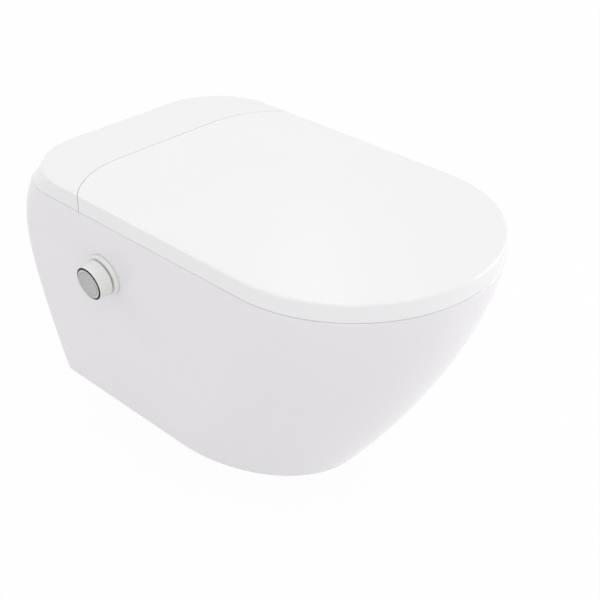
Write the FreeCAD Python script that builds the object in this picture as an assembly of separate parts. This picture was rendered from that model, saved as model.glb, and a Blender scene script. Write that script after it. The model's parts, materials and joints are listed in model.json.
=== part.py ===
"""Wall-hung smart toilet: glazed pan, flush lid and heated seat on a hidden hinge line, spray arm and knob.

Frame: millimetres, +Z up, the wall is the plane y = 0 and the user sits towards -Y.
The origin is the middle of the two wall fixing holes.
"""
import FreeCAD
import Part
import math
import os

V = FreeCAD.Vector

# Pan: outline at the rim and at the foot
RIM_HALF = 187.5
RIM_TIP = 608.0
RIM_NOSE = 177.0
RIM_CORNER = 73.0
FOOT_HALF = 135.0
FOOT_TIP = 442.0
FOOT_NOSE = 187.0
FOOT_CORNER = 14.0
CORNER_CURVE = 7.0
RIM_Z = 80.0
PAN_HEIGHT = 335.0
SIDE_CURVE = 1.376
TIP_CURVE = 1.518
WALL_TRIM = 0.5
LEVEL_SHARES = (0.0, 0.03, 0.07, 0.12, 0.19, 0.3, 0.5, 0.75, 1.0)
RIM_ROUND = 3.0
FOOT_ROUND = 7.0

# Pan: bowl, trap and flush duct
BOWL_MID_Y = -402.0
BOWL_HALF = 128.0
BOWL_LONG = 164.0
BOWL_DEPTH = 198.0
BOWL_EDGE = 6.0
SUMP_SHIFT = 57.0
BOWL_LEVEL_SHARES = (0.0, 0.2, 0.5, 0.78, 1.0)
BOWL_SIZE_SHARES = (1.0, 0.96, 0.82, 0.58, 0.34)
BOWL_SHIFT_SHARES = (0.0, 0.0, 0.18, 0.6, 1.0)
TRAP_R = 36.0
OUTLET_DROP = 100.0
HORN_BORE = 45.0
HORN_R = 51.0
HORN_ROOM = 62.0
HORN_LONG = 40.0
TRAP_START = (-345.0, -92.0)
TRAP_LOW = (-276.0, -128.0)
TRAP_WEIR = (-186.0, -46.0)
TRAP_FALL = (-92.0, -100.0)
TRAP_BEND = 42.0
FLUSH_RISE = 35.0
FLUSH_R = 27.5
FLUSH_SOCKET = 30.0
DUCT_R = 22.0
DUCT_SIDE = 100.0
DUCT_TURN_Y = -35.0
DUCT_BACK_Y = -95.0
DUCT_MOUTH_Y = -335.0
DUCT_Z = 32.0
DUCT_BEND = 30.0

# Wall fixing and rear pockets
FIX_SPACING = 180.0
FIX_HOLE_R = 15.0
FIX_DEPTH = 42.0
STUD_R = 6.5
POCKET_IN = 74.0
POCKET_OUT = 122.0
POCKET_LOW = -190.0
POCKET_TOP = -28.0
POCKET_DEPTH = 185.0

# Wells in the deck for the rear unit
WELL_OUT = 150.0
WELL_IN = 40.0
WELL_BACK = 28.0
WELL_FRONT = 130.0
WELL_FLOOR_Z = 26.0
MID_WELL_HALF = 20.0
MID_WELL_BACK = 82.0
MID_WELL_FLOOR_Z = 34.0

# Lid and rear cover
TOP_RISE = 22.8
SEAM_GAP = 1.0
LID_DRAFT = 1.5
LID_WALL = 4.0
LID_PLATE = 3.5
EDGE_ROUND = 3.5
COVER_WALL = 3.0
COVER_REAR = 3.5
COVER_CORNER_LOW = 73.0
COVER_CORNER_TOP = 102.5
SEAM_BACK = 100.0
SEAM_SIDE = 148.0
SEAM_FLAT_HALF = 84.0
PART_GAP = 0.8
LID_BEVEL = 1.6
LID_LIP = 0.8
PEG_R = 5.0

# Hinge line
HINGE_DROP = 7.0
HINGE_SET = 8.4
PIN_R = 2.0
PIN_FIT = 0.05
PRESS_FIT = 0.02
BUSH_R = 2.8
KNUCKLE_R = 4.6
KNUCKLE_ROOM = 0.35
KNUCKLE_IN = (34.0, 48.0)
POST_SPAN = (48.5, 58.5)
LUG_SPAN = (59.0, 67.0)
KNUCKLE_OUT = (67.5, 82.0)
SIDE_ROOM = 0.4
ARM_THICK = 3.2
ARM_ROOM = 1.0
ARM_HALF = 2.0
POST_HALF = 3.4
POST_FOOT_HALF = 8.0
POST_FOOT = 3.0

# Seat
SEAT_INSET = 2.5
SEAT_LOW = 3.0
SEAT_SPLIT = 8.0
SEAT_TOP = 15.0
SEAT_REAR = 134.0
SEAT_CORNER = 30.0
SEAT_HOLE_MID = -386.0
SEAT_HOLE_HALF = 112.0
SEAT_HOLE_LONG = 146.0
SEAT_ROUND = 3.0
HEATER_THICK = 1.0
HEATER_INSET = 14.0
LUG_ARM_TOP = 0.8
LUG_ARM_TALL = 6.5
BUFFER_R = 9.0
REST_GAP = 0.2
BUFFER_PLACES_SHARES = ((0.72, 0.36), (0.64, 0.83))

# Base plate, gasket and fasteners
PLATE_EDGE = 22.5
PLATE_FRONT = 127.0
PLATE_BACK = 24.0
PLATE_CORNER = 62.0
GASKET_THICK = 1.0
PLATE_THICK = 3.0
PLATE_CUT_IN = 44.0
PLATE_CUT_OUT = 146.0
PLATE_CUT_FRONT = 78.0
PLATE_CUT_BACK = 33.0
ANCHOR_EDGE = 7.5
ANCHOR_Y = (-78.0, -114.0)
ANCHOR_R = 5.0
ANCHOR_DEEP = 32.0
SCREW_R = 2.5
SCREW_HEAD_R = 5.0
SCREW_HEAD = 2.4

# Lid drive and damper on the hinge line
DRIVE_SPAN = (90.0, 121.0)
DRIVE_FRONT = 6.0
DRIVE_BACK = 24.0
DRIVE_HEAD = 2.6
MOTOR_R = 6.8
MOTOR_LONG = 46.0
DRIVE_BOSS = 4.0

# Spray arm
WAND_TILT = 18.0
WAND_TIP_Y = -240.0
WAND_TIP_Z = 27.0
WAND_LONG = 146.0
WAND_R = 6.5
WAND_FIT = 0.3
GUIDE_HALF = 12.0
GUIDE_SHORT = 6.0
SLOT_ROOM = 0.5
SLOT_AHEAD = 70.0
RACK_HALF = 3.0
RACK_TALL = 3.6
TOOTH_PITCH = 4.0
TOOTH_TALL = 1.8
TOOTH_HALF_SHARE = 0.2
GAP_MIDDLE_SHARE = 0.25
PINION_TEETH = 12
PINION_HALF = 3.5
PINION_GAP_INDEX = 27
MESH_ROOM = 0.25
PINION_BORE = 2.0
WAND_MOTOR_R = 11.0
WAND_MOTOR_LONG = 30.0
NOZZLE_LONG = 14.0
NOZZLE_HOLE_R = 0.9
NOZZLE_HOLES = 5
SHIELD_THICK = 2.5
SHIELD_R = 11.0

# Water and power parts in the left well
FITTING_X = -60.0
FITTING_Z = 42.0
FITTING_R = 10.0
FITTING_BORE = 5.0
FITTING_HEX = 12.0
VALVE_HALF = 12.0
VALVE_LONG = 30.0
VALVE_LOW = 28.0
VALVE_TALL = 22.0
COIL_R = 9.5
COIL_TALL = 20.0
HEATER_X = -92.0
HEATER_Y = -97.0
HEATER_R = 14.0
HEATER_TOP = 76.0
HOSE_R = 4.0
HOSE_BORE = 2.5
HOSE_BEND = 12.0
HOSE_LOW_Z = 38.0
HOSE_HIGH_Z = 71.0
SUPPLY = (-107.0, -77.0, -68.0, -33.0)
SUPPLY_TALL = 32.0
BOX = (-147.0, -112.0, -126.0, -36.0)
BOX_TALL = 42.0
BOX_WALL = 2.0
BOX_LID = 2.5
BOARD_THICK = 1.6
BOARD_RISE = 8.0
GLAND_X = -128.0
GLAND_Z = 50.0
GLAND_R = 8.0
GLAND_BORE = 4.0
SEAT_FACE = 0.3

# Knob on the side
KNOB_Y = -181.0
KNOB_Z = 2.5
KNOB_FLANGE_R = 28.0
KNOB_FLANGE = 5.5
KNOB_SLEEVE_R = 17.5
KNOB_SLEEVE = 30.0
KNOB_BORE_R = 18.0
KNOB_BORE_DEEP = 46.0
ENCODER_R = 13.5
ENCODER_ROOM = 0.4
SHAFT_R = 3.0
SHAFT_DEEP = 18.0
RING_R = 24.0
RING_GAP = 2.0
RING_FLOOR = 4.0
RING_TALL = 18.5
RING_WALL = 1.4
CAP_FIT = 0.3
CAP_THICK = 9.0
CAP_PROUD = 0.6
CAP_STEM_R = 5.0
CAP_TRAVEL = 2.0
DOME_R = 6.0
DOME_TALL = 2.2
WIRE_R = 4.0
WIRE_Z = 34.0

# Flush seal
INLET_SEAL_WALL = 5.0

# Shared cutting overrun
OVER = 5.0

# Derived places
TOP_Z = RIM_Z + TOP_RISE
FOOT_Z = RIM_Z - PAN_HEIGHT
AXIS_Y = HINGE_SET - SEAM_BACK
AXIS_Z = TOP_Z - HINGE_DROP
PLATE_HALF = RIM_HALF - PLATE_EDGE
ANCHOR_X = PLATE_HALF - ANCHOR_EDGE
PLATE_Z = RIM_Z + GASKET_THICK
PLATE_TOP = PLATE_Z + PLATE_THICK
WAND_TIP = V(0, WAND_TIP_Y, WAND_TIP_Z)


def box(x0, x1, y0, y1, z0, z1):
    """Block between two corners, given in any order."""
    low = V(min(x0, x1), min(y0, y1), min(z0, z1))
    return Part.makeBox(abs(x1 - x0), abs(y1 - y0), abs(z1 - z0), low)


def rod(start, end, radius):
    """Round bar from one point to another."""
    way = end - start
    return Part.makeCylinder(radius, way.Length, start, way)


def x_rod(x0, x1, radius, y=AXIS_Y, z=AXIS_Z):
    """Round bar along X, on the hinge line unless told otherwise."""
    return rod(V(x0, y, z), V(x1, y, z), radius)


def tube(start, end, radius, bore):
    """Round bar with a bore right through."""
    return rod(start, end, radius).cut(rod(start, end, bore))


def both_sides(shape):
    """The shape and its mirror image across the middle plane."""
    return Part.makeCompound([shape, shape.mirror(V(0, 0, 0), V(1, 0, 0))])


def bent_path(points, bend):
    """Straight runs through the points, joined by tangent arcs of one radius."""
    edges = []
    start = points[0]
    for before, corner, after in zip(points, points[1:], points[2:]):
        back = (before - corner).normalize()
        on = (after - corner).normalize()
        half_turn = back.getAngle(on) / 2
        reach = bend / math.tan(half_turn)
        middle = (back + on).normalize()
        centre = corner + middle * (bend / math.sin(half_turn))
        first = corner + back * reach
        last = corner + on * reach
        edges.append(Part.LineSegment(start, first).toShape())
        edges.append(Part.Arc(first, centre - middle * bend, last).toShape())
        start = last
    edges.append(Part.LineSegment(start, points[-1]).toShape())
    return Part.Wire(edges)


def swept(points, bend, radius):
    """Round bar along a bent path."""
    ring = Part.Wire(Part.Circle(points[0], points[1] - points[0], radius).toShape())
    return bent_path(points, bend).makePipeShell([ring], True, False)


def quarter_round(start, corner, end):
    """Quarter of an ellipse from start to end, tangent to the lines towards the corner."""
    curve = Part.BezierCurve()
    curve.setPoles([start, corner, end])
    curve.setWeight(2, math.sqrt(0.5))
    return curve.toShape()


def outline(z, half, tip, nose, corner, rear=0.0):
    """Closed plan outline at height z: flat rear, round rear corners, straight sides, elliptic nose."""
    def half_edges(sign):
        back = V(sign * (half - corner), -rear, z)
        side_back = V(sign * half, -rear - corner, z)
        side_front = V(sign * half, nose - tip, z)
        front = V(0, -tip, z)
        return back, [
            quarter_round(back, V(sign * half, -rear, z), side_back),
            Part.LineSegment(side_back, side_front).toShape(),
            quarter_round(side_front, V(sign * half, -tip, z), front),
        ]

    right_back, right = half_edges(1)
    left_back, left = half_edges(-1)
    rear_edge = Part.LineSegment(left_back, right_back).toShape()
    return Part.Wire([rear_edge] + right + left[::-1])


def oval(z, half, long, mid_y):
    """Upright ellipse outline, longer along Y."""
    return Part.Wire(Part.Ellipse(V(0, mid_y + long, z), V(half, mid_y, z), V(0, mid_y, z)).toShape())


def on_axis(shape, start, way):
    """Moves a shape built up along +Z so that it stands at start and points along way."""
    turn = FreeCAD.Rotation(V(0, 0, 1), way)
    shape = shape.copy()
    shape.Placement = FreeCAD.Placement(start, turn).multiply(shape.Placement)
    return shape


def pan_half(share):
    return RIM_HALF - (RIM_HALF - FOOT_HALF) * share ** SIDE_CURVE


def pan_section(share):
    """Outline of the pan at a share of its height below the rim."""
    tip = RIM_TIP - (RIM_TIP - FOOT_TIP) * share ** TIP_CURVE
    nose = RIM_NOSE + (FOOT_NOSE - RIM_NOSE) * share
    corner = FOOT_CORNER + (RIM_CORNER - FOOT_CORNER) * (1 - share) ** CORNER_CURVE
    return outline(RIM_Z - PAN_HEIGHT * share, pan_half(share), tip, nose, corner, -WALL_TRIM)


def edges_at(shape, z, skip_rear=True):
    """Edges that lie in the plane at height z, without the straight one along the wall."""
    found = []
    for edge in shape.Edges:
        box_of = edge.BoundBox
        flat = abs(box_of.ZMin - z) < PRESS_FIT and abs(box_of.ZMax - z) < PRESS_FIT
        at_wall = box_of.YLength < PRESS_FIT and skip_rear
        if flat and not at_wall:
            found.append(edge)
    return found


def wand_way():
    tilt = math.radians(WAND_TILT)
    return V(0, -math.cos(tilt), -math.sin(tilt))


def along_wand(distance):
    """Point on the spray arm's axis, measured back from its parked tip."""
    return WAND_TIP - wand_way() * distance


def wand_block(half_x, low, high, start, end):
    """Block that follows the arm's axis: low and high are measured square to it."""
    block = box(-half_x, half_x, low, high, start, end)
    turn = FreeCAD.Rotation(V(1, 0, 0), wand_up(), wand_way() * -1, "ZYX")
    block.Placement = FreeCAD.Placement(WAND_TIP, turn)
    return block


def wand_up():
    tilt = math.radians(WAND_TILT)
    return V(0, -math.sin(tilt), math.cos(tilt))


def knob_share():
    """Share of the pan's height at which the knob sits below the rim."""
    return (RIM_Z - KNOB_Z) / PAN_HEIGHT


def knob_way():
    """Out from the pan's side, square to it."""
    slope = SIDE_CURVE * (RIM_HALF - FOOT_HALF) / PAN_HEIGHT * knob_share() ** (SIDE_CURVE - 1)
    return V(-1, 0, -slope).normalize()


def knob_seat():
    """Point on the pan's side where the knob's axis comes out."""
    return V(-pan_half(knob_share()), KNOB_Y, KNOB_Z)


def knob_disc(low, high, radius):
    """Disc on the knob's axis between two distances out from the pan's side."""
    disc = Part.makeCylinder(radius, high - low, V(0, 0, low))
    return on_axis(disc, knob_seat(), knob_way())


def ceramic_pan():
    body = Part.makeLoft([pan_section(share) for share in LEVEL_SHARES], True, False)
    body = body.cut(box(-RIM_TIP, RIM_TIP, 0, OVER, FOOT_Z - OVER, RIM_Z + OVER))
    body = body.makeFillet(FOOT_ROUND, edges_at(body, FOOT_Z))
    body = body.makeFillet(RIM_ROUND, edges_at(body, RIM_Z))
    body = body.cut(bowl_space())
    body = body.makeFillet(BOWL_EDGE, bowl_rim(body))
    return body.cut(Part.makeCompound(pan_hollows()))


def bowl_rim(body):
    """The bowl's edge in the plane of the rim, the one closed edge there."""
    return [edge for edge in edges_at(body, RIM_Z) if edge.isClosed()]


def pan_hollows():
    """Every space inside the pan but the bowl, one closed solid each."""
    hollows = [trap_space(), duct_space()]
    mouth, root = V(0, OVER, -OUTLET_DROP), V(0, -HORN_LONG, -OUTLET_DROP)
    hollows.append(rod(mouth, root, HORN_BORE))
    hollows.append(tube(mouth, root, HORN_ROOM, HORN_R))
    hollows.append(rod(V(0, OVER, FLUSH_RISE), V(0, -FLUSH_SOCKET, FLUSH_RISE), FLUSH_R))
    for side in (-1, 1):
        x = side * FIX_SPACING / 2
        hollows.append(rod(V(x, OVER, 0), V(x, -FIX_DEPTH, 0), FIX_HOLE_R))
        inner, outer = side * POCKET_IN, side * POCKET_OUT
        hollows.append(box(inner, outer, OVER, -POCKET_DEPTH, POCKET_LOW, POCKET_TOP))
        for y in ANCHOR_Y:
            top = V(side * ANCHOR_X, y, RIM_Z + OVER)
            hollows.append(rod(top, V(side * ANCHOR_X, y, RIM_Z - ANCHOR_DEEP), ANCHOR_R))
    high = RIM_Z + OVER
    hollows.append(box(-WELL_OUT, -WELL_IN, -WELL_BACK, -WELL_FRONT, WELL_FLOOR_Z, high))
    hollows.append(box(-WELL_IN - OVER, MID_WELL_HALF, -MID_WELL_BACK, -WELL_FRONT, MID_WELL_FLOOR_Z, high))
    room = GUIDE_HALF + SLOT_ROOM
    hollows.append(wand_block(room, -room, room, -SLOT_AHEAD, WAND_LONG))
    for x, z, radius in ((FITTING_X, FITTING_Z, FITTING_R), (GLAND_X, GLAND_Z, GLAND_R)):
        half = radius + SLOT_ROOM
        hollows.append(box(x - half, x + half, OVER, -WELL_BACK - OVER, z - half, high))
    hollows.append(knob_disc(-KNOB_BORE_DEEP, OVER, KNOB_BORE_R))
    wire_x = -WELL_OUT + WIRE_R
    hollows.append(rod(V(wire_x, KNOB_Y, KNOB_Z), V(wire_x, -WELL_FRONT + OVER, WIRE_Z), WIRE_R))
    return hollows


def bowl_space():
    sections = []
    for level, size, shift in zip(BOWL_LEVEL_SHARES, BOWL_SIZE_SHARES, BOWL_SHIFT_SHARES):
        z = RIM_Z + OVER - (BOWL_DEPTH + OVER) * level
        mid_y = BOWL_MID_Y + SUMP_SHIFT * shift
        sections.append(oval(z, BOWL_HALF * size, BOWL_LONG * size, mid_y))
    return Part.makeLoft(sections, True, False)


def trap_space():
    corners = (TRAP_START, TRAP_LOW, TRAP_WEIR, TRAP_FALL, (OVER, TRAP_FALL[1]))
    return swept([V(0, y, z) for y, z in corners], TRAP_BEND, TRAP_R)


def duct_space():
    points = [
        V(0, OVER, FLUSH_RISE), V(0, DUCT_TURN_Y, FLUSH_RISE),
        V(DUCT_SIDE, DUCT_BACK_Y, DUCT_Z), V(DUCT_SIDE, DUCT_MOUTH_Y, DUCT_Z),
    ]
    return swept(points, DUCT_BEND, DUCT_R)


def flush_inlet_seal():
    start = V(0, 0, FLUSH_RISE)
    end = V(0, -FLUSH_SOCKET, FLUSH_RISE)
    return tube(start, end, FLUSH_R - PRESS_FIT, FLUSH_R - INLET_SEAL_WALL)


def fixing_sleeves():
    x = FIX_SPACING / 2
    sleeve = tube(V(x, 0, 0), V(x, -FIX_DEPTH, 0), FIX_HOLE_R - PIN_FIT, STUD_R)
    return both_sides(sleeve)


def seam_back_space(gap):
    """Everything behind the seam between lid and cover, moved back by a gap: flat, then arcs to the sides."""
    wide = RIM_HALF + OVER
    flat_y = gap - SEAM_BACK
    reach = RIM_HALF - SEAM_FLAT_HALF
    drop = SEAM_SIDE - SEAM_BACK
    radius = (reach ** 2 + drop ** 2) / (2 * drop)

    def seam_point(x):
        return V(x, flat_y - radius + math.sqrt(radius ** 2 - (x - SEAM_FLAT_HALF) ** 2), 0)

    def flip(point):
        return V(-point.x, point.y, point.z)

    inner = V(SEAM_FLAT_HALF, flat_y, 0)
    mid = seam_point((SEAM_FLAT_HALF + wide) / 2)
    side = seam_point(wide)
    rear = V(wide, OVER, 0)
    edges = [
        Part.LineSegment(rear, side).toShape(),
        Part.Arc(side, mid, inner).toShape(),
        Part.LineSegment(inner, flip(inner)).toShape(),
        Part.Arc(flip(inner), flip(mid), flip(side)).toShape(),
        Part.LineSegment(flip(side), flip(rear)).toShape(),
        Part.LineSegment(flip(rear), rear).toShape(),
    ]
    face = Part.Face(Part.Wire(edges))
    face.translate(V(0, 0, RIM_Z - OVER))
    return face.extrude(V(0, 0, TOP_RISE + OVER + OVER))


def top_block(inset, low, high):
    """Solid of the lid's outer form between two heights, drawn in by an inset."""
    wires = []
    for z, draft in ((low, 0), (high, LID_DRAFT)):
        shrink = inset + draft
        wires.append(outline(z, RIM_HALF - shrink, RIM_TIP - shrink, RIM_NOSE - shrink, COVER_CORNER_LOW,
                             COVER_REAR))
    return Part.makeLoft(wires, True, True)


def cover_block(inset, low, high):
    """Solid of the rear cover's outer form: the rear corners grow rounder towards the top."""
    levels = (
        (low, 0, COVER_CORNER_LOW),
        (high, LID_DRAFT, COVER_CORNER_TOP),
    )
    wires = []
    for z, draft, corner in levels:
        shrink = inset + draft
        wires.append(outline(z, RIM_HALF - shrink, RIM_TIP - shrink, RIM_NOSE - shrink, corner - inset,
                             COVER_REAR + inset))
    return Part.makeLoft(wires, True, True)


def hinge_space(spans, radius):
    """Round bars on the hinge line over the given spans, on both sides."""
    return Part.makeCompound([both_sides(x_rod(a, b, radius)) for a, b in spans])


def cover_edge_r():
    """Distance from the hinge line to the cover's front edge, nearest the line."""
    return math.hypot(HINGE_SET - PART_GAP, HINGE_DROP)


def hinge_arm(a, b):
    """Hub and hooked arm that reaches round the cover's front edge, up to the level of the hinge line."""
    inner = cover_edge_r() + ARM_ROOM
    outer = inner + ARM_THICK
    hook = x_rod(a, b, outer).cut(x_rod(a, b, inner))
    hook = hook.common(box(a, b, AXIS_Y - outer, AXIS_Y, AXIS_Z - outer, AXIS_Z))
    spoke = box(a, b, AXIS_Y - ARM_HALF, AXIS_Y + ARM_HALF, AXIS_Z - inner - ARM_THICK / 2, AXIS_Z)
    return hook.fuse([spoke, x_rod(a, b, KNUCKLE_R)])


def lid_shell():
    low = RIM_Z + SEAM_GAP
    shell = top_block(0, low, TOP_Z)
    shell = shell.makeFillet(EDGE_ROUND, edges_at(shell, TOP_Z))
    shell = shell.cut(top_block(LID_WALL, low - OVER, TOP_Z - LID_PLATE))
    bevel_half = RIM_HALF - LID_WALL - LID_DRAFT
    under_lip = seam_back_space(-LID_BEVEL).common(box(-bevel_half, bevel_half, -RIM_TIP, RIM_TIP, low - OVER,
                                                       TOP_Z - LID_LIP))
    swing = x_rod(-SEAM_FLAT_HALF, SEAM_FLAT_HALF, cover_edge_r() + KNUCKLE_ROOM)
    shell = shell.cut([seam_back_space(0), under_lip, swing])
    arms = []
    for a, b in (KNUCKLE_IN, KNUCKLE_OUT):
        front = AXIS_Y - cover_edge_r() - ARM_ROOM
        rise = box(a, b, front - ARM_THICK, front, AXIS_Z, TOP_Z - LID_PLATE)
        arms.append(both_sides(hinge_arm(a, b).fuse(rise)))
    shell = shell.fuse(arms)
    shell = shell.cut(hinge_space((KNUCKLE_IN, KNUCKLE_OUT), BUSH_R + PIN_FIT))
    return shell.removeSplitter()


def lid_bushes():
    spans = []
    for a, b in (KNUCKLE_IN, KNUCKLE_OUT):
        middle = (a + b) / 2
        end = b if b < POST_SPAN[0] else middle
        spans.append((a, end))
    bushes = [both_sides(x_rod(a, b, BUSH_R).cut(x_rod(a, b, PIN_R + PIN_FIT))) for a, b in spans]
    return Part.makeCompound(bushes)


def lid_drive_shaft():
    middle = (KNUCKLE_OUT[0] + KNUCKLE_OUT[1]) / 2
    thick = x_rod(middle + PART_GAP, KNUCKLE_OUT[1], BUSH_R)
    return thick.fuse(x_rod(KNUCKLE_OUT[1], DRIVE_SPAN[1] - OVER, PIN_R))


def lid_damper_shaft():
    return lid_drive_shaft().mirror(V(0, 0, 0), V(1, 0, 0))


def buffer_places(half, tip):
    return [(half * x, -tip * y) for x, y in BUFFER_PLACES_SHARES]


def lid_buffers():
    low = RIM_Z + SEAT_TOP + REST_GAP
    pads = []
    for x, y in buffer_places(RIM_HALF, RIM_TIP):
        pads.append(both_sides(rod(V(x, y, low), V(x, y, TOP_Z - LID_PLATE), BUFFER_R)))
    return Part.makeCompound(pads)


def seat_outline(z, inset):
    shrink = LID_WALL + LID_DRAFT + SEAT_INSET + inset
    return outline(z, RIM_HALF - shrink, RIM_TIP - shrink, RIM_NOSE - shrink, SEAT_CORNER,
                   SEAT_REAR + inset)


def seat_ring(low, high, inset=0.0):
    """Seat ring between two heights above the rim, with its opening."""
    block = Part.Face(seat_outline(RIM_Z + low, inset)).extrude(V(0, 0, high - low))
    hole = oval(RIM_Z + low - OVER, SEAT_HOLE_HALF + inset, SEAT_HOLE_LONG + inset, SEAT_HOLE_MID)
    return block.cut(Part.Face(hole).extrude(V(0, 0, high - low + OVER + OVER)))


def seat_heater():
    return seat_ring(SEAT_SPLIT, SEAT_SPLIT + HEATER_THICK, HEATER_INSET)


def seat_top_shell():
    ring = seat_ring(SEAT_SPLIT, SEAT_TOP)
    ring = ring.makeFillet(SEAT_ROUND, edges_at(ring, RIM_Z + SEAT_TOP))
    ring = ring.cut(seat_ring(SEAT_SPLIT, SEAT_SPLIT + HEATER_THICK + PIN_FIT, HEATER_INSET - PIN_FIT))
    span = (LUG_SPAN[0] + SIDE_ROOM, LUG_SPAN[1] - SIDE_ROOM)
    start = AXIS_Y - cover_edge_r() - ARM_ROOM
    top = AXIS_Z - LUG_ARM_TOP
    arm = box(*span, start, -SEAT_REAR - BUFFER_R, top - LUG_ARM_TALL, top)
    ring = ring.fuse(both_sides(arm.fuse(hinge_arm(*span))).Solids)
    return ring.cut(hinge_space((span,), BUSH_R + PIN_FIT)).removeSplitter()


def seat_bushes():
    span = (LUG_SPAN[0] + SIDE_ROOM, LUG_SPAN[1] - SIDE_ROOM)
    return both_sides(x_rod(*span, BUSH_R).cut(x_rod(*span, PIN_R + PIN_FIT)))


def seat_base_shell():
    return seat_ring(SEAT_LOW, SEAT_SPLIT)


def seat_buffers():
    pads = []
    for x, y in buffer_places(RIM_HALF, RIM_TIP):
        pads.append(both_sides(rod(V(x, y, RIM_Z + REST_GAP), V(x, y, RIM_Z + SEAT_LOW), BUFFER_R)))
    return Part.makeCompound(pads)


def hinge_pins():
    middle = (KNUCKLE_OUT[0] + KNUCKLE_OUT[1]) / 2
    return both_sides(x_rod(KNUCKLE_IN[0], middle, PIN_R))


def hinge_posts():
    foot = box(*POST_SPAN, AXIS_Y - POST_FOOT_HALF, AXIS_Y + POST_FOOT_HALF,
               PLATE_TOP, PLATE_TOP + POST_FOOT)
    stem = box(*POST_SPAN, AXIS_Y - POST_HALF, AXIS_Y + POST_HALF, PLATE_TOP, AXIS_Z)
    post = foot.fuse([stem, x_rod(*POST_SPAN, KNUCKLE_R)])
    return both_sides(post.cut(x_rod(*POST_SPAN, PIN_R + PRESS_FIT)).removeSplitter())


def plate_blank(z, thick):
    """Base plate outline with its openings, shared by the plate and its gasket."""
    blank = box(-PLATE_HALF, PLATE_HALF, -PLATE_BACK, -PLATE_FRONT, z, z + thick)
    rear = [e for e in blank.Edges if e.BoundBox.YLength < PRESS_FIT and e.BoundBox.XLength < PRESS_FIT
            and e.BoundBox.YMax > -PLATE_BACK - PRESS_FIT]
    blank = blank.makeFillet(PLATE_CORNER, rear)
    high = z + thick
    well = box(-PLATE_CUT_OUT, -PLATE_CUT_IN, -PLATE_CUT_BACK, -PLATE_CUT_FRONT, z, high)
    arm = box(-MID_WELL_HALF, MID_WELL_HALF, -MID_WELL_BACK, -PLATE_FRONT, z, high)
    arm_r = cover_edge_r() + ARM_ROOM + ARM_THICK
    holes = []
    for a, b in (KNUCKLE_IN, (LUG_SPAN[0], KNUCKLE_OUT[1])):
        window = box(a - SIDE_ROOM, b + SIDE_ROOM, AXIS_Y - arm_r, AXIS_Y + ARM_HALF + ARM_ROOM, z, high)
        holes.append(both_sides(window))
    for y in ANCHOR_Y:
        holes.append(both_sides(rod(V(ANCHOR_X, y, z), V(ANCHOR_X, y, high), SCREW_R + PIN_FIT)))
    return blank.cut([well, arm] + holes)


def base_plate():
    return plate_blank(PLATE_Z, PLATE_THICK)


def deck_gasket():
    return plate_blank(RIM_Z, GASKET_THICK)


def deck_anchors():
    plugs = []
    for y in ANCHOR_Y:
        low, high = V(ANCHOR_X, y, RIM_Z - ANCHOR_DEEP), V(ANCHOR_X, y, RIM_Z)
        plugs.append(both_sides(tube(low, high, ANCHOR_R - PIN_FIT, SCREW_R + PIN_FIT)))
    return Part.makeCompound(plugs)


def base_screws():
    screws = []
    for y in ANCHOR_Y:
        shank = rod(V(ANCHOR_X, y, RIM_Z - ANCHOR_DEEP), V(ANCHOR_X, y, PLATE_TOP), SCREW_R)
        head = rod(V(ANCHOR_X, y, PLATE_TOP), V(ANCHOR_X, y, PLATE_TOP + SCREW_HEAD), SCREW_HEAD_R)
        screws.append(both_sides(shank.fuse(head)))
    return Part.makeCompound(screws)


def rear_cover():
    low = RIM_Z + SEAM_GAP
    shell = cover_block(0, low, TOP_Z)
    shell = shell.makeFillet(EDGE_ROUND, edges_at(shell, TOP_Z, False))
    shell = shell.cut(cover_block(COVER_WALL, low - OVER, TOP_Z - COVER_WALL))
    peg_y = (ANCHOR_Y[0] + ANCHOR_Y[1]) / 2
    peg = rod(V(ANCHOR_X, peg_y, PLATE_TOP), V(ANCHOR_X, peg_y, TOP_Z - COVER_WALL), PEG_R)
    shell = shell.fuse(both_sides(peg).Solids)
    shell = shell.common(seam_back_space(PART_GAP))
    hub_span = (KNUCKLE_IN[0] - SIDE_ROOM, KNUCKLE_OUT[1] + SIDE_ROOM)
    return shell.cut(hinge_space((hub_span,), KNUCKLE_R + KNUCKLE_ROOM))


def lid_drive():
    block = box(*DRIVE_SPAN, AXIS_Y - DRIVE_FRONT, AXIS_Y + DRIVE_BACK, PLATE_TOP, AXIS_Z + DRIVE_HEAD)
    block = block.makeFillet(RIM_ROUND, [e for e in block.Edges if e.BoundBox.ZLength > RIM_ROUND])
    return block.cut(x_rod(DRIVE_SPAN[0], DRIVE_SPAN[1] - OVER, PIN_R + PIN_FIT))


def lid_drive_motor():
    y = AXIS_Y + DRIVE_BACK - MOTOR_R
    z = PLATE_TOP + MOTOR_R
    can = x_rod(DRIVE_SPAN[0] - MOTOR_LONG, DRIVE_SPAN[0] - DRIVE_BOSS, MOTOR_R, y, z)
    return can.fuse(x_rod(DRIVE_SPAN[0] - DRIVE_BOSS, DRIVE_SPAN[0], PIN_R + PIN_R, y, z))


def lid_damper():
    return lid_drive().mirror(V(0, 0, 0), V(1, 0, 0))


def wand_guide():
    body = wand_block(GUIDE_HALF, -GUIDE_HALF, GUIDE_HALF, GUIDE_SHORT, WAND_LONG - GUIDE_SHORT)
    body = body.cut(rod(along_wand(-OVER), along_wand(WAND_LONG + OVER), WAND_R + WAND_FIT))
    room = RACK_HALF + WAND_FIT
    body = body.cut(wand_block(room, -GUIDE_HALF - OVER, 0, -OVER, WAND_LONG + OVER))
    c = pinion_centre()
    half = PINION_HALF + SLOT_ROOM
    return body.cut(x_rod(-half, half, pinion_r() + TOOTH_TALL, c.y, c.z))


def spray_wand():
    return rod(along_wand(NOZZLE_LONG), along_wand(WAND_LONG), WAND_R).cut(rack_blank())


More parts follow.
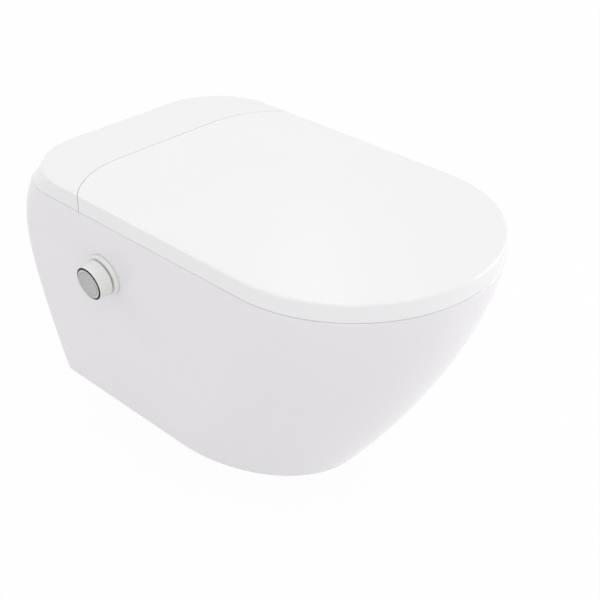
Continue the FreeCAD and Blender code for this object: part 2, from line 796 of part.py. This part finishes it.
def rack_blank():
    low = -WAND_R - RACK_TALL / 2
    return wand_block(RACK_HALF, low, low + RACK_TALL, NOZZLE_LONG, WAND_LONG)


def rack_face():
    """Distance of the rack's tooth tips below the arm's axis."""
    return WAND_R + RACK_TALL / 2


def wand_rack():
    rack = rack_blank()
    count = int((WAND_LONG - NOZZLE_LONG) / TOOTH_PITCH)
    low = -rack_face()
    gaps = []
    for i in range(count):
        start = NOZZLE_LONG + TOOTH_PITCH * i
        gaps.append(wand_block(RACK_HALF + WAND_FIT, low - WAND_FIT, low + TOOTH_TALL,
                               start, start + TOOTH_PITCH / 2))
    return rack.cut(gaps)


def pinion_r():
    """Pitch radius from the tooth pitch and count."""
    return TOOTH_PITCH * PINION_TEETH / (2 * math.pi)


def pinion_centre():
    drop = rack_face() - TOOTH_TALL / 2 + pinion_r() + MESH_ROOM
    contact = NOZZLE_LONG + TOOTH_PITCH * (PINION_GAP_INDEX + GAP_MIDDLE_SHARE)
    return along_wand(contact) - wand_up() * drop


def wand_pinion():
    c = pinion_centre()
    root_r = pinion_r() - TOOTH_TALL / 2 - MESH_ROOM
    tip_r = pinion_r() + TOOTH_TALL / 2
    gear = x_rod(-PINION_HALF, PINION_HALF, root_r, c.y, c.z)
    half = TOOTH_PITCH * TOOTH_HALF_SHARE
    teeth = []
    for i in range(PINION_TEETH):
        tooth = box(-PINION_HALF, PINION_HALF, -half, half, 0, tip_r)
        tooth.rotate(V(0, 0, 0), V(1, 0, 0), WAND_TILT + 360 * i / PINION_TEETH)
        tooth.translate(c)
        teeth.append(tooth)
    return gear.fuse(teeth).cut(x_rod(-PINION_HALF, PINION_HALF, PINION_BORE + PIN_FIT, c.y, c.z))


def wand_motor():
    c = pinion_centre()
    face = -GUIDE_HALF - SLOT_ROOM
    can = x_rod(face - WAND_MOTOR_LONG, face, WAND_MOTOR_R, c.y, c.z)
    return can.fuse(x_rod(face, PINION_HALF, PINION_BORE, c.y, c.z))


def nozzle_head():
    head = rod(along_wand(SHIELD_THICK), along_wand(NOZZLE_LONG), WAND_R)
    holes = []
    for i in range(NOZZLE_HOLES):
        start = along_wand(SHIELD_THICK + (NOZZLE_LONG - SHIELD_THICK) * (i + 1) / (NOZZLE_HOLES + 1))
        holes.append(rod(start, start + wand_up() * (WAND_R + OVER), NOZZLE_HOLE_R))
    return head.cut(holes)


def wand_shield():
    return rod(along_wand(0), along_wand(SHIELD_THICK), SHIELD_R)


def water_inlet_fitting():
    start = V(FITTING_X, 0, FITTING_Z)
    end = V(FITTING_X, -WELL_BACK, FITTING_Z)
    tail = V(FITTING_X, -WELL_BACK - OVER, FITTING_Z)
    return rod(start, end, FITTING_R).fuse(rod(end, tail, FITTING_HEX)).cut(rod(start, tail, FITTING_BORE))


def valve_front():
    return -WELL_BACK - OVER - VALVE_LONG


def solenoid_valve():
    rear = -WELL_BACK - OVER - SEAT_FACE
    return box(FITTING_X - VALVE_HALF, FITTING_X + VALVE_HALF, rear, valve_front(),
               VALVE_LOW, VALVE_LOW + VALVE_TALL)


def solenoid_coil():
    low = V(FITTING_X, (valve_front() - WELL_BACK - OVER) / 2, VALVE_LOW + VALVE_TALL)
    return rod(low, low + V(0, 0, COIL_TALL), COIL_R)


def flow_heater():
    low = V(HEATER_X, HEATER_Y, WELL_FLOOR_Z)
    tank = rod(low, V(HEATER_X, HEATER_Y, HEATER_TOP), HEATER_R)
    return tank.makeFillet(RIM_ROUND, edges_at(tank, HEATER_TOP, False))


def valve_hose():
    z = HOSE_LOW_Z
    points = [V(FITTING_X, valve_front() - SEAT_FACE, z), V(FITTING_X, HEATER_Y, z),
              V(HEATER_X + HEATER_R + SEAT_FACE, HEATER_Y, z)]
    return swept(points, HOSE_BEND, HOSE_R).cut(swept(points, HOSE_BEND, HOSE_BORE))


def wand_hose():
    start = V(HEATER_X + HEATER_R + SEAT_FACE, HEATER_Y, HOSE_HIGH_Z)
    return tube(start, V(-GUIDE_HALF - SEAT_FACE, HEATER_Y, HOSE_HIGH_Z), HOSE_R, HOSE_BORE)


def power_supply():
    block = box(*SUPPLY, WELL_FLOOR_Z, WELL_FLOOR_Z + SUPPLY_TALL)
    return block.makeFillet(RIM_ROUND, [e for e in block.Edges if e.BoundBox.ZLength > RIM_ROUND])


def control_box():
    high = WELL_FLOOR_Z + BOX_TALL
    inner = box(BOX[0] + BOX_WALL, BOX[1] - BOX_WALL, BOX[2] + BOX_WALL, BOX[3] - BOX_WALL,
                WELL_FLOOR_Z + BOX_WALL, high)
    return box(*BOX, WELL_FLOOR_Z, high).cut(inner)


def control_box_lid():
    low = WELL_FLOOR_Z + BOX_TALL
    return box(*BOX, low, low + BOX_LID)


def circuit_board():
    low = WELL_FLOOR_Z + BOX_WALL
    edge = BOX_WALL + SLOT_ROOM
    x0, x1, y0, y1 = BOX[0] + edge, BOX[1] - edge, BOX[2] + edge, BOX[3] - edge
    board = box(x0, x1, y0, y1, low + BOARD_RISE, low + BOARD_RISE + BOARD_THICK)
    legs = [rod(V(x, y, low), V(x, y, low + BOARD_RISE), SCREW_R) for x in (x0 + OVER, x1 - OVER)
            for y in (y0 + OVER, y1 - OVER)]
    return board.fuse(legs)


def mains_gland():
    start = V(GLAND_X, 0, GLAND_Z)
    end = V(GLAND_X, -WELL_BACK, GLAND_Z)
    tail = V(GLAND_X, BOX[3] + SEAT_FACE, GLAND_Z)
    body = rod(start, end, GLAND_R).fuse(rod(end, tail, GLAND_R + BOX_WALL))
    return body.cut(rod(start, tail, GLAND_BORE))


def knob_flange():
    disc = knob_disc(SEAT_FACE, KNOB_FLANGE, KNOB_FLANGE_R)
    disc = disc.makeFillet(BOX_WALL, outer_edges(disc, KNOB_FLANGE_R, KNOB_FLANGE))
    disc = disc.fuse(knob_disc(-KNOB_SLEEVE, SEAT_FACE, KNOB_SLEEVE_R))
    return disc.cut(knob_disc(-KNOB_SLEEVE, KNOB_FLANGE, ENCODER_R + ENCODER_ROOM)).removeSplitter()


def outer_edges(shape, radius, out):
    """Round edges of a knob piece at one distance out from the pan's side."""
    level = knob_seat() + knob_way() * out
    round_edges = [e for e in shape.Edges if hasattr(e.Curve, "Radius")]
    return [e for e in round_edges if abs(e.Curve.Radius - radius) < PRESS_FIT
            and (e.Curve.Center - level).Length < PRESS_FIT]


def knob_encoder():
    body = knob_disc(-KNOB_SLEEVE, KNOB_FLANGE, ENCODER_R)
    return body.cut(knob_disc(-SHAFT_DEEP, KNOB_FLANGE, SHAFT_R + PIN_FIT))


def ring_low():
    return KNOB_FLANGE + RING_GAP


def knob_shaft():
    return knob_disc(-SHAFT_DEEP + PART_GAP, ring_low(), SHAFT_R)


def knob_ring():
    low = ring_low()
    ring = knob_disc(low, low + RING_TALL, RING_R)
    rounded = outer_edges(ring, RING_R, low) + outer_edges(ring, RING_R, low + RING_TALL)
    ring = ring.makeFillet(RING_WALL / 2, rounded)
    return ring.cut(knob_disc(low + RING_FLOOR, low + RING_TALL, RING_R - RING_WALL))


def knob_dome():
    low = ring_low() + RING_FLOOR
    return knob_disc(low, low + DOME_TALL, DOME_R)


def knob_cap():
    high = ring_low() + RING_TALL + CAP_PROUD
    radius = RING_R - RING_WALL - CAP_FIT
    cap = knob_disc(high - CAP_THICK, high, radius)
    cap = cap.makeFillet(CAP_PROUD, outer_edges(cap, radius, high))
    stem_end = ring_low() + RING_FLOOR + DOME_TALL + CAP_TRAVEL + SEAT_FACE
    return cap.fuse(knob_disc(stem_end, high - CAP_THICK, CAP_STEM_R))


NODES = (
    ceramic_pan, flush_inlet_seal, fixing_sleeves, deck_gasket, base_plate, deck_anchors,
    base_screws, rear_cover, hinge_posts, hinge_pins, lid_drive, lid_drive_motor, lid_damper,
    lid_shell, lid_bushes, lid_buffers, lid_drive_shaft, lid_damper_shaft,
    seat_top_shell, seat_base_shell, seat_heater, seat_buffers, seat_bushes,
    wand_guide, spray_wand, wand_rack, nozzle_head, wand_shield, wand_pinion, wand_motor,
    water_inlet_fitting, solenoid_valve, solenoid_coil, flow_heater, valve_hose, wand_hose,
    power_supply, control_box, control_box_lid, circuit_board, mains_gland,
    knob_flange, knob_encoder, knob_shaft, knob_ring, knob_dome, knob_cap,
)


def main():
    os.makedirs("parts", exist_ok=True)
    for make in NODES:
        shape = make()
        print(make.__name__, len(shape.Solids), shape.isValid(), round(shape.Volume))
        shape.exportStep("parts/" + make.__name__ + ".step")


main()
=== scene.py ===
"""Looks of the wall-hung smart toilet: a finish for every piece, soft studio light and the photo's camera."""
import json
import math

import bmesh
import bpy
from mathutils import Matrix, Vector


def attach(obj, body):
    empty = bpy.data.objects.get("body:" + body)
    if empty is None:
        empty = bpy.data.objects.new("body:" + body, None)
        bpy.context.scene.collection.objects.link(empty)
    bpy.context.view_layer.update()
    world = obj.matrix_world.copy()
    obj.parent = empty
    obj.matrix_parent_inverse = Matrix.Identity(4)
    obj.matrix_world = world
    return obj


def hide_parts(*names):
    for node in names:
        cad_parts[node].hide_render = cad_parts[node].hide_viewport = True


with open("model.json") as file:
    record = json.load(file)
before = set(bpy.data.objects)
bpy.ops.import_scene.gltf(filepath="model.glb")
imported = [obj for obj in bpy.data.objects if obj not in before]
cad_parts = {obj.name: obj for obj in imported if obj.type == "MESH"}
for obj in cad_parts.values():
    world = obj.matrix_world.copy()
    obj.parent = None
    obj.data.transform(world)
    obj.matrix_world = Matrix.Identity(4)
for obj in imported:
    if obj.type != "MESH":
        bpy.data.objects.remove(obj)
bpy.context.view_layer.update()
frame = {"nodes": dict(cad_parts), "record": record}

# Camera, from the outline of the object in the photo: metres, degrees and pixels
IMAGE_WIDE = 600
VIEW_AZIMUTH = -46.129
VIEW_ELEVATION = 32.151
VIEW_ROLL = 0.499
VIEW_FOCUS_PIXELS = 1114.447
VIEW_MIDDLE_PIXELS = (279.2, 297.6)
VIEW_DISTANCE = 1.565162
VIEW_TARGET = Vector((0.063208, -0.25, -0.110294))
SENSOR_WIDE = 36.0

# Floor under the hung pan: the rim stands 400 mm above it
RIM_ABOVE_FLOOR = 0.4
RIM_Z = 0.08
FLOOR_RADIUS = 9.0
FLOOR_SIDES = 96
FLOOR_COLOUR = (0.86, 0.86, 0.86)
FLOOR_PATCH = 0.8
FLOOR_MOTTLE_SHARE = 0.995
FLOOR_GLOW_SHARE = 0.96

# Light: world level for what it lights, and the soft boxes in metres and watts
WORLD_LEVEL = 0.79
SOFT_BOXES = {
    "top_box": {"place": (0.3, 0.1, 2.0), "target": (0, -0.3, 0.05), "size": 0.55, "watts": 3.5},
    "right_box": {"place": (1.8, -1.5, 0.0), "target": (0, -0.4, -0.1), "size": 1.4, "watts": 14.0},
    "rim_box": {"place": (-0.9, 1.1, 1.25), "target": (-0.1, -0.3, 0.05), "size": 0.5, "watts": 2.0},
    "front_box": {"place": (-1.2, -1.7, 1.9), "target": (0, -0.4, 0), "size": 1.2, "watts": 8.5},
    "sheen_box": {"place": (1.13, 0.65, 1.15), "target": (-0.14, -0.49, 0.1), "size": 0.25, "watts": 0.16},
}

# Glaze on the pan, and the casting that it leaves bare at the back: linear colours and metres
GLAZE_COLOUR = (0.865, 0.84, 0.868)
GLAZE_ROUGH = 0.1
GLAZE_ROUGH_SPREAD = 0.05
GLAZE_PATCH = 0.16
GLAZE_MOTTLE_SHARE = 0.985
GLAZE_RIPPLE = 0.018
GLAZE_RISE = 0.00012
BISCUIT_COLOUR = (0.72, 0.69, 0.64)
BISCUIT_GRAIN = 0.0012
BISCUIT_MOTTLE_SHARE = 0.88
BISCUIT_DULL = 0.65
BARE_BACK_DEPTH = 0.0015
POCKET_INNER = 0.0735
POCKET_OUTER = 0.1225
POCKET_TOP_Z = -0.0275
POCKET_BACK_DEPTH = 0.1855

# Plastic and metal in general: patch sizes in metres, how far gloss drifts either way, and layers of noise
TONE_PATCH = 0.09
RUB_PATCH = 0.012
RUB_SHARE = 0.14
STAIN_PATCH = 0.014
DRAWN_LINE = 0.002
DRAWN_SHARE = 0.2
EVEN_DETAIL = 1.0
SOFT_DETAIL = 3.0
FINE_DETAIL = 4.0

# Turned metal cap of the knob: metres, and linear colours
CAP_STEM_R = 0.005
CAP_SKIRT = 0.009
CAP_BEVEL_WIDE = 0.0025
CAP_BEVEL_DEEP = 0.0014
CAP_LAND_WIDE = 0.0026
CAP_GROOVE_WIDE = 0.0005
CAP_GROOVE_DEEP = 0.0004
CAP_DISH = 0.0005
CAP_DISH_STEPS = 6
CAP_SIDES = 96
CAP_CREASE_DEGREES = 20
CAP_LATHE_PITCH = 0.0004
CAP_RISE = 0.000004
CAP_WELD = 0.000004
CAP_ROUGH = 0.3
CAP_ROUGH_SPREAD = 0.16
CAP_DISC_COLOUR = (0.47, 0.474, 0.47)
CAP_LAND_COLOUR = (0.58, 0.582, 0.576)
# Darker grey in the cap's groove: painted shade in the groove
CAP_GROOVE_PAINTED_SHADE = (0.3, 0.302, 0.3)
# Near black on the cap's bevel: painted shadow of the gap between the cap and the ring
CAP_BEVEL_PAINTED_SHADE = (0.025, 0.025, 0.025)


class Value:
    """A number on its way through a node tree: arithmetic on it adds Math nodes."""

    def __init__(self, tree, socket):
        self.tree = tree
        self.socket = socket

    def __add__(self, other):
        return self.tree.math("ADD", self, other)

    def __sub__(self, other):
        return self.tree.math("SUBTRACT", self, other)

    def __rsub__(self, other):
        return self.tree.math("SUBTRACT", other, self)

    def __mul__(self, other):
        return self.tree.math("MULTIPLY", self, other)

    def __gt__(self, other):
        return self.tree.math("GREATER_THAN", self, other)

    def __lt__(self, other):
        return self.tree.math("LESS_THAN", self, other)

    def __abs__(self):
        return self.tree.math("ABSOLUTE", self, 0)

    def __pow__(self, other):
        return self.tree.math("POWER", self, other)

    __radd__ = __add__
    __rmul__ = __mul__


class Tree:
    """The node tree of a material or of the world while it is put together."""

    def __init__(self, owner):
        owner.use_nodes = True
        self.owner = owner
        self.nodes = owner.node_tree.nodes
        self.links = owner.node_tree.links
        self.nodes.clear()

    def node(self, kind, settings, inputs, output=0):
        """Adds one node: its settings first, then the value or link of each socket."""
        made = self.nodes.new(kind)
        for name, value in settings.items():
            setattr(made, name, value)
        for name, value in inputs.items():
            if isinstance(value, Value):
                self.links.new(value.socket, made.inputs[name])
            else:
                made.inputs[name].default_value = value
        return Value(self, made.outputs[output]) if made.outputs else None

    def math(self, operation, first, second):
        return self.node("ShaderNodeMath", {"operation": operation}, {0: first, 1: second})

    def looking(self):
        """1 for rays from the camera and in reflections, 0 for those that carry light to a surface."""
        kinds = ("Is Camera Ray", "Is Glossy Ray", "Is Transmission Ray")
        camera, glossy, through = [self.node("ShaderNodeLightPath", {}, {}, kind) for kind in kinds]
        return self.math("MAXIMUM", camera, self.math("MAXIMUM", glossy, through))


class Finish(Tree):
    """One material while it is put together."""

    def __init__(self, name):
        super().__init__(bpy.data.materials.new(name))

    def place(self):
        """Place on the piece itself, in metres."""
        return self.node("ShaderNodeTexCoord", {}, {}, "Object")

    def axes(self):
        """The place's three numbers."""
        place = self.place()
        return [self.node("ShaderNodeSeparateXYZ", {}, {0: place}, axis) for axis in range(3)]

    def noise(self, size, detail=2.0, stretch=(1.0, 1.0, 1.0)):
        """Soft random mottling whose patches are about the given size across."""
        place = self.node("ShaderNodeMapping", {}, {"Vector": self.place(), "Scale": stretch})
        return self.node("ShaderNodeTexNoise", {}, {"Vector": place, "Scale": 1 / size, "Detail": detail})

    def mixed(self, share, first, second):
        """Colour between two others; a colour mix has them at sockets 6 and 7, and its result at 2."""
        colours = {0: share, 6: solid(first), 7: solid(second)}
        return self.node("ShaderNodeMix", {"data_type": "RGBA"}, colours, 2)

    def bump(self, height, rise):
        return self.node("ShaderNodeBump", {}, {"Distance": rise, "Height": height})

    def done(self, sockets):
        shader = self.node("ShaderNodeBsdfPrincipled", {}, sockets)
        self.node("ShaderNodeOutputMaterial", {}, {"Surface": shader})
        return self.owner


def solid(colour):
    """An opaque colour for a socket; a linked colour is passed on."""
    return colour if isinstance(colour, Value) else (*colour, 1.0)


def shaded(colour, share):
    return tuple(channel * share for channel in colour)


def moulded(name, colour, roughness, grain, rise, mottle_share=0.985):
    """Moulded plastic: faint tone drift, uneven gloss and a fine skin texture."""
    finish = Finish(name)
    drift = finish.noise(TONE_PATCH, detail=SOFT_DETAIL)
    rub = finish.noise(RUB_PATCH, detail=FINE_DETAIL)
    skin = finish.noise(grain)
    return finish.done({
        "Base Color": finish.mixed(drift, colour, shaded(colour, mottle_share)),
        "Roughness": roughness * (1 - RUB_SHARE + rub * (RUB_SHARE + RUB_SHARE)),
        "Normal": finish.bump(skin, rise),
    })


def metal(name, colour, roughness, rise, stretch=(1.0, 1.0, 1.0), tarnish_share=0.9):
    """Bare metal with drawn or brushed lines and slightly uneven gloss."""
    finish = Finish(name)
    lines = finish.noise(DRAWN_LINE, detail=SOFT_DETAIL, stretch=stretch)
    stain = finish.noise(STAIN_PATCH, detail=SOFT_DETAIL)
    return finish.done({
        "Base Color": finish.mixed(stain, colour, shaded(colour, tarnish_share)),
        "Metallic": 1.0,
        "Roughness": roughness * (1 - DRAWN_SHARE + lines * (DRAWN_SHARE + DRAWN_SHARE)),
        "Normal": finish.bump(lines, rise),
    })


def white_glaze():
    """Vitreous glaze with a faint ripple; the casting is bare on the wall face and in the rear pockets."""
    finish = Finish("white_glaze")
    x, y, z = finish.axes()
    wall = y > -BARE_BACK_DEPTH
    side = abs(x)
    inside = (side > POCKET_INNER) * (side < POCKET_OUTER) * (z < POCKET_TOP_Z) * (y > -POCKET_BACK_DEPTH)
    bare = finish.math("MAXIMUM", wall, inside)
    drift = finish.noise(GLAZE_PATCH)
    pool = finish.noise(TONE_PATCH, detail=SOFT_DETAIL)
    ripple = finish.noise(GLAZE_RIPPLE, detail=EVEN_DETAIL)
    sand = finish.noise(BISCUIT_GRAIN, detail=FINE_DETAIL)
    glaze = finish.mixed(drift, GLAZE_COLOUR, shaded(GLAZE_COLOUR, GLAZE_MOTTLE_SHARE))
    biscuit = finish.mixed(sand, BISCUIT_COLOUR, shaded(BISCUIT_COLOUR, BISCUIT_MOTTLE_SHARE))
    return finish.done({
        "Base Color": finish.mixed(bare, glaze, biscuit),
        "Roughness": GLAZE_ROUGH + GLAZE_ROUGH_SPREAD * pool + BISCUIT_DULL * bare,
        "Normal": finish.bump(ripple + bare * sand, GLAZE_RISE),
    })


def lid_white():
    return moulded("lid_white", (0.9, 0.89, 0.905), roughness=0.24, grain=0.0016, rise=0.000012)


def cover_white():
    """Like the lid's plastic: a rougher one shows bright specks where its gloss drifts."""
    return moulded("cover_white", (0.88, 0.875, 0.89), roughness=0.24, grain=0.0016, rise=0.000012)


def seat_white():
    return moulded("seat_white", (0.88, 0.88, 0.875), roughness=0.22, grain=0.002, rise=0.00001)


def soft_grey():
    return moulded("soft_grey", (0.5, 0.5, 0.5), roughness=0.62, grain=0.0009, rise=0.00004, mottle_share=0.9)


def seal_black():
    black = (0.03, 0.03, 0.032)
    return moulded("seal_black", black, roughness=0.58, grain=0.0008, rise=0.00005, mottle_share=0.7)


def hinge_steel():
    return metal("hinge_steel", (0.6, 0.6, 0.61), roughness=0.28, rise=0.00001, stretch=(0.15, 4.0, 4.0))


def zinc_steel():
    return metal("zinc_steel", (0.52, 0.54, 0.56), roughness=0.4, rise=0.00002, tarnish_share=0.8)


def knob_white():
    return moulded("knob_white", (0.84, 0.85, 0.83), roughness=0.3, grain=0.0009, rise=0.00001)


def satin_metal():
    """Turned metal of the knob's cap: grey disc, brighter land, painted shade in the groove, a near-black
    painted shadow on the bevel, fine lathe rings.
    """
    finish = Finish("satin_metal")
    foot, axis = knob_axis()
    offset = [place - start for place, start in zip(finish.axes(), foot)]
    along = sum(part * share for part, share in zip(offset, axis))
    from_axis = (sum(part * part for part in offset) - along * along) ** 0.5
    land, groove, disc = cap_steps(cap_reach()[0])
    rings = finish.node("ShaderNodeTexNoise", {"noise_dimensions": "1D"},
                        {"W": from_axis, "Scale": 1 / CAP_LATHE_PITCH})
    face = finish.mixed(from_axis > groove, CAP_DISC_COLOUR, CAP_LAND_COLOUR)
    # The groove's darker grey is painted shade
    groove_shaded = finish.mixed((from_axis > disc) * (from_axis < groove), face, CAP_GROOVE_PAINTED_SHADE)
    return finish.done({
        # The bevel's near black is painted shadow of the gap to the ring
        "Base Color": finish.mixed(from_axis > land, groove_shaded, CAP_BEVEL_PAINTED_SHADE),
        "Metallic": 1.0,
        "Roughness": CAP_ROUGH + CAP_ROUGH_SPREAD * rings,
        "Normal": finish.bump(rings, CAP_RISE),
    })


def unit_grey():
    grey = (0.22, 0.225, 0.235)
    return moulded("unit_grey", grey, roughness=0.48, grain=0.0011, rise=0.00003, mottle_share=0.9)


def sleeve_white():
    return moulded("sleeve_white", (0.78, 0.775, 0.75), roughness=0.42, grain=0.0011, rise=0.00002)


def fitting_brass():
    brass = (0.62, 0.47, 0.2)
    turned = (4.0, 0.2, 4.0)
    return metal("fitting_brass", brass, roughness=0.3, rise=0.00001, stretch=turned, tarnish_share=0.75)


def coil_red():
    red = (0.3, 0.05, 0.035)
    return moulded("coil_red", red, roughness=0.4, grain=0.001, rise=0.00003, mottle_share=0.85)


def tank_steel():
    return metal("tank_steel", (0.62, 0.62, 0.63), roughness=0.25, rise=0.00001, stretch=(4.0, 4.0, 0.2))


def hose_clear():
    milky = (0.66, 0.67, 0.64)
    return moulded("hose_clear", milky, roughness=0.35, grain=0.002, rise=0.00002, mottle_share=0.9)


def board_green():
    green = (0.03, 0.2, 0.08)
    return moulded("board_green", green, roughness=0.38, grain=0.0018, rise=0.00004, mottle_share=0.6)


def heater_foil():
    return metal("heater_foil", (0.7, 0.48, 0.18), roughness=0.3, rise=0.00003)


def wand_white():
    return moulded("wand_white", (0.82, 0.83, 0.84), roughness=0.2, grain=0.0015, rise=0.00001)


FINISHES = (
    white_glaze, lid_white, cover_white, seat_white, soft_grey, seal_black, hinge_steel, zinc_steel,
    knob_white, satin_metal, unit_grey, sleeve_white, fitting_brass, coil_red, tank_steel, hose_clear,
    board_green, heater_foil, wand_white,
)


def dress_nodes():
    """Gives every CAD node the finish of its material slot, and returns the finishes by name."""
    made = {finish.__name__: finish() for finish in FINISHES}
    for subpart in frame["record"]["subparts"]:
        mesh = frame["nodes"][subpart["node"]].data
        mesh.materials.clear()
        mesh.materials.append(made[subpart["material_slot"]])
    return made


def knob_axis():
    """A place on the knob's axis, and the way that it points out of the pan."""
    joints = {joint["name"]: joint for joint in frame["record"]["behaviour"]["joints"]}
    return Vector(joints["knob_turn"]["pos_m"]), Vector(joints["knob_turn"]["axis"]).normalized()


def cap_reach():
    """The cap's radius, and its lowest and highest places along the knob's axis."""
    foot, axis = knob_axis()
    offsets = [vertex.co - foot for vertex in frame["nodes"]["knob_cap"].data.vertices]
    heights = [offset.dot(axis) for offset in offsets]
    radius = max(offset.cross(axis).length for offset in offsets)
    return radius, min(heights), max(heights)


def cap_steps(radius):
    """Radii at which the land, the groove and the disc of the cap's face begin."""
    land = radius - CAP_BEVEL_WIDE
    groove = land - CAP_LAND_WIDE
    return land, groove, groove - CAP_GROOVE_WIDE


def cap_profile():
    """Radius and height pairs from the end of the cap's stem to the middle of its dished face."""
    radius, low, high = cap_reach()
    land, groove, disc = cap_steps(radius)
    under = high - CAP_SKIRT
    pairs = [(0, low), (CAP_STEM_R, low), (CAP_STEM_R, under), (radius, under)]
    pairs += [(radius, high - CAP_BEVEL_DEEP), (land, high), (groove, high)]
    pairs += [(groove, high - CAP_GROOVE_DEEP), (disc, high - CAP_GROOVE_DEEP)]
    for step in range(CAP_DISH_STEPS + 1):
        share = 1 - step / CAP_DISH_STEPS
        pairs.append((disc * share, high - CAP_DISH * (1 - share * share)))
    return pairs


def add_knob_cap(finish):
    """The knob's cap as a turned piece, with its bevel, land, groove and dish."""
    foot, axis = knob_axis()
    across = axis.orthogonal().normalized()
    mesh = bpy.data.meshes.new("turned_cap")
    shape = bmesh.new()
    points = [shape.verts.new(foot + across * radius + axis * height) for radius, height in cap_profile()]
    lines = [shape.edges.new(pair) for pair in zip(points, points[1:])]
    bmesh.ops.spin(shape, geom=points + lines, cent=foot, axis=axis, angle=math.tau, steps=CAP_SIDES)
    bmesh.ops.remove_doubles(shape, verts=shape.verts, dist=CAP_WELD)
    bmesh.ops.recalc_face_normals(shape, faces=shape.faces)
    for face in shape.faces:
        face.smooth = True
    shape.to_mesh(mesh)
    shape.free()
    mesh.set_sharp_from_angle(angle=math.radians(CAP_CREASE_DEGREES))
    mesh.materials.append(finish)
    cap = bpy.data.objects.new("turned_cap", mesh)
    bpy.context.scene.collection.objects.link(cap)
    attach(cap, "knob_button")
    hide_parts("knob_cap")


def floor_finish():
    """Pale floor: it takes the shadow, and for the camera and in reflections it is nearly white by itself."""
    finish = Finish("pale_floor")
    mottle = finish.noise(FLOOR_PATCH)
    colour = finish.mixed(mottle, FLOOR_COLOUR, shaded(FLOOR_COLOUR, FLOOR_MOTTLE_SHARE))
    paint = finish.node("ShaderNodeBsdfDiffuse", {}, {"Color": colour})
    glow = finish.node("ShaderNodeEmission", {}, {"Strength": 1.0})
    both = finish.node("ShaderNodeMixShader", {}, {0: finish.looking() * FLOOR_GLOW_SHARE, 1: paint, 2: glow})
    finish.node("ShaderNodeOutputMaterial", {}, {"Surface": both})
    return finish.owner


def add_floor():
    mesh = bpy.data.meshes.new("floor")
    shape = bmesh.new()
    bmesh.ops.create_circle(shape, cap_ends=True, segments=FLOOR_SIDES, radius=FLOOR_RADIUS)
    shape.to_mesh(mesh)
    shape.free()
    mesh.materials.append(floor_finish())
    floor = bpy.data.objects.new("floor", mesh)
    floor.location.z = RIM_Z - RIM_ABOVE_FLOOR
    bpy.context.scene.collection.objects.link(floor)


def light_world():
    """Even light all round, and a white background for the camera and reflections."""
    studio = Tree(bpy.data.worlds.new("studio"))
    level = WORLD_LEVEL + studio.looking() * (1 - WORLD_LEVEL)
    sky = studio.node("ShaderNodeBackground", {}, {"Color": (1.0, 1.0, 1.0, 1.0), "Strength": level})
    studio.node("ShaderNodeOutputWorld", {}, {"Surface": sky})
    bpy.context.scene.world = studio.owner


def aimed(place, target, roll=0.0):
    """Matrix of a camera or lamp at a place that looks at a target."""
    back = (place - target).normalized()
    right = Vector((0, 0, 1)).cross(back).normalized()
    up = back.cross(right)
    turned_right = right * math.cos(roll) + up * math.sin(roll)
    turned_up = up * math.cos(roll) - right * math.sin(roll)
    matrix = Matrix((turned_right, turned_up, back)).transposed().to_4x4()
    matrix.translation = place
    return matrix


def add_lights():
    for name, made in SOFT_BOXES.items():
        lamp = bpy.data.lights.new(name, "AREA")
        lamp.shape = "DISK"
        lamp.size = made["size"]
        lamp.energy = made["watts"]
        box = bpy.data.objects.new(name, lamp)
        box.matrix_world = aimed(Vector(made["place"]), Vector(made["target"]))
        box.visible_camera = False
        bpy.context.scene.collection.objects.link(box)


def add_camera():
    azimuth = math.radians(VIEW_AZIMUTH)
    elevation = math.radians(VIEW_ELEVATION)
    level = math.cos(elevation)
    back = Vector((math.sin(azimuth) * level, -math.cos(azimuth) * level, math.sin(elevation)))
    lens = bpy.data.cameras.new("camera")
    lens.sensor_width = SENSOR_WIDE
    lens.lens = SENSOR_WIDE * VIEW_FOCUS_PIXELS / IMAGE_WIDE
    half = IMAGE_WIDE / 2
    lens.shift_x = (half - VIEW_MIDDLE_PIXELS[0]) / IMAGE_WIDE
    lens.shift_y = (VIEW_MIDDLE_PIXELS[1] - half) / IMAGE_WIDE
    camera = bpy.data.objects.new("camera", lens)
    camera.matrix_world = aimed(VIEW_TARGET + back * VIEW_DISTANCE, VIEW_TARGET, math.radians(VIEW_ROLL))
    bpy.context.scene.collection.objects.link(camera)
    bpy.context.scene.camera = camera


bpy.context.scene.view_settings.view_transform = "Standard"
finishes = dress_nodes()
add_knob_cap(finishes["satin_metal"])
add_floor()
light_world()
add_lights()
add_camera()
